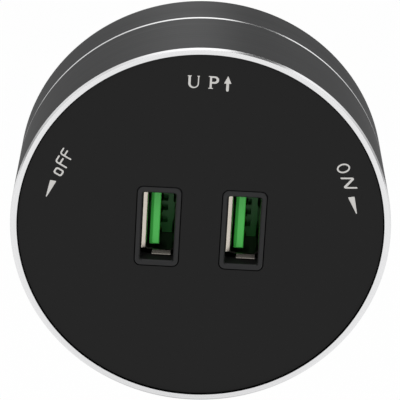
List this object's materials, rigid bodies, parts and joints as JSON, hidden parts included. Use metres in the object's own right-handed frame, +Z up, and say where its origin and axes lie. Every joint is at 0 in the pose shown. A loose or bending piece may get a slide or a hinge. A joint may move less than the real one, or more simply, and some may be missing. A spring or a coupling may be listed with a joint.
{
  "type": "power track adapter",
  "caption": "Round twist-lock power track adapter with USB-A charging ports in its face, turned sleeves and an oblong contact key behind.",
  "frame": {"origin": "centre of the rear seat face that lies against the track", "axes": "face looks along -Y, +Y points into the track, +Z is up when the adapter is at OFF, +X is to the right as seen from the front"},
  "size_m": [0.072, 0.0415, 0.072],
  "materials": {
    "black_anodised": "turned, black anodised, bright cut rim",
    "black_moulding": "fine satin",
    "bezel_moulding": "satin",
    "inner_moulding": "moulded",
    "nickel_steel": "nickel-plated, pressed",
    "green_moulding": "moulded",
    "gold_plate": "gold-plated",
    "bronze": "pressed",
    "circuit_board": "solder mask",
    "ferrite": "ground",
    "winding_tape": "film tape",
    "capacitor_can": "sleeved",
    "blue_coating": "dipped",
    "fuse_case": "moulded",
    "chip_case": "moulded",
    "zinc_steel": "zinc-plated",
    "spring_steel": "bright",
    "washer_plastic": "smooth",
    "brown_sleeve": "extruded",
    "blue_sleeve": "extruded",
    "green_yellow_sleeve": "extruded"
  },
  "bodies": {
    "base": {"rear_sleeve": "black_anodised", "base_plate": "inner_moulding", "thrust_washer": "washer_plastic", "detent_springs": "spring_steel"},
    "twist_body": {"front_sleeve": "black_anodised", "front_housing": "black_moulding", "port_bezel_left": "bezel_moulding", "port_bezel_right": "bezel_moulding", "usb_shell_left": "nickel_steel", "usb_shell_right": "nickel_steel", "usb_tongue_left": "green_moulding", "usb_tongue_right": "green_moulding", "usb_contacts_left": "gold_plate", "usb_contacts_right": "gold_plate", "main_board": "circuit_board", "transformer_core": "ferrite", "transformer_winding": "winding_tape", "bulk_capacitors": "capacitor_can", "output_capacitors": "capacitor_can", "choke": "ferrite", "y_capacitor": "blue_coating", "fuse": "fuse_case", "bridge_rectifier": "chip_case", "controller_chips": "chip_case", "rear_cover": "inner_moulding", "frame_screws": "zinc_steel", "rotor_screws": "zinc_steel", "cap_screws": "zinc_steel", "contact_rotor": "inner_moulding", "rotor_cap": "inner_moulding", "live_contact": "bronze", "neutral_contact": "bronze", "earth_contact": "bronze", "live_lead": "brown_sleeve", "neutral_lead": "blue_sleeve", "earth_lead": "green_yellow_sleeve"}
  },
  "joints": [
    {"name": "twist", "type": "hinge", "parent": "base", "child": "twist_body", "pos_m": [0, 0, 0], "axis": [0, 1, 0], "range_deg": [0, 90], "deforming": ["detent_springs"]}
  ]
}
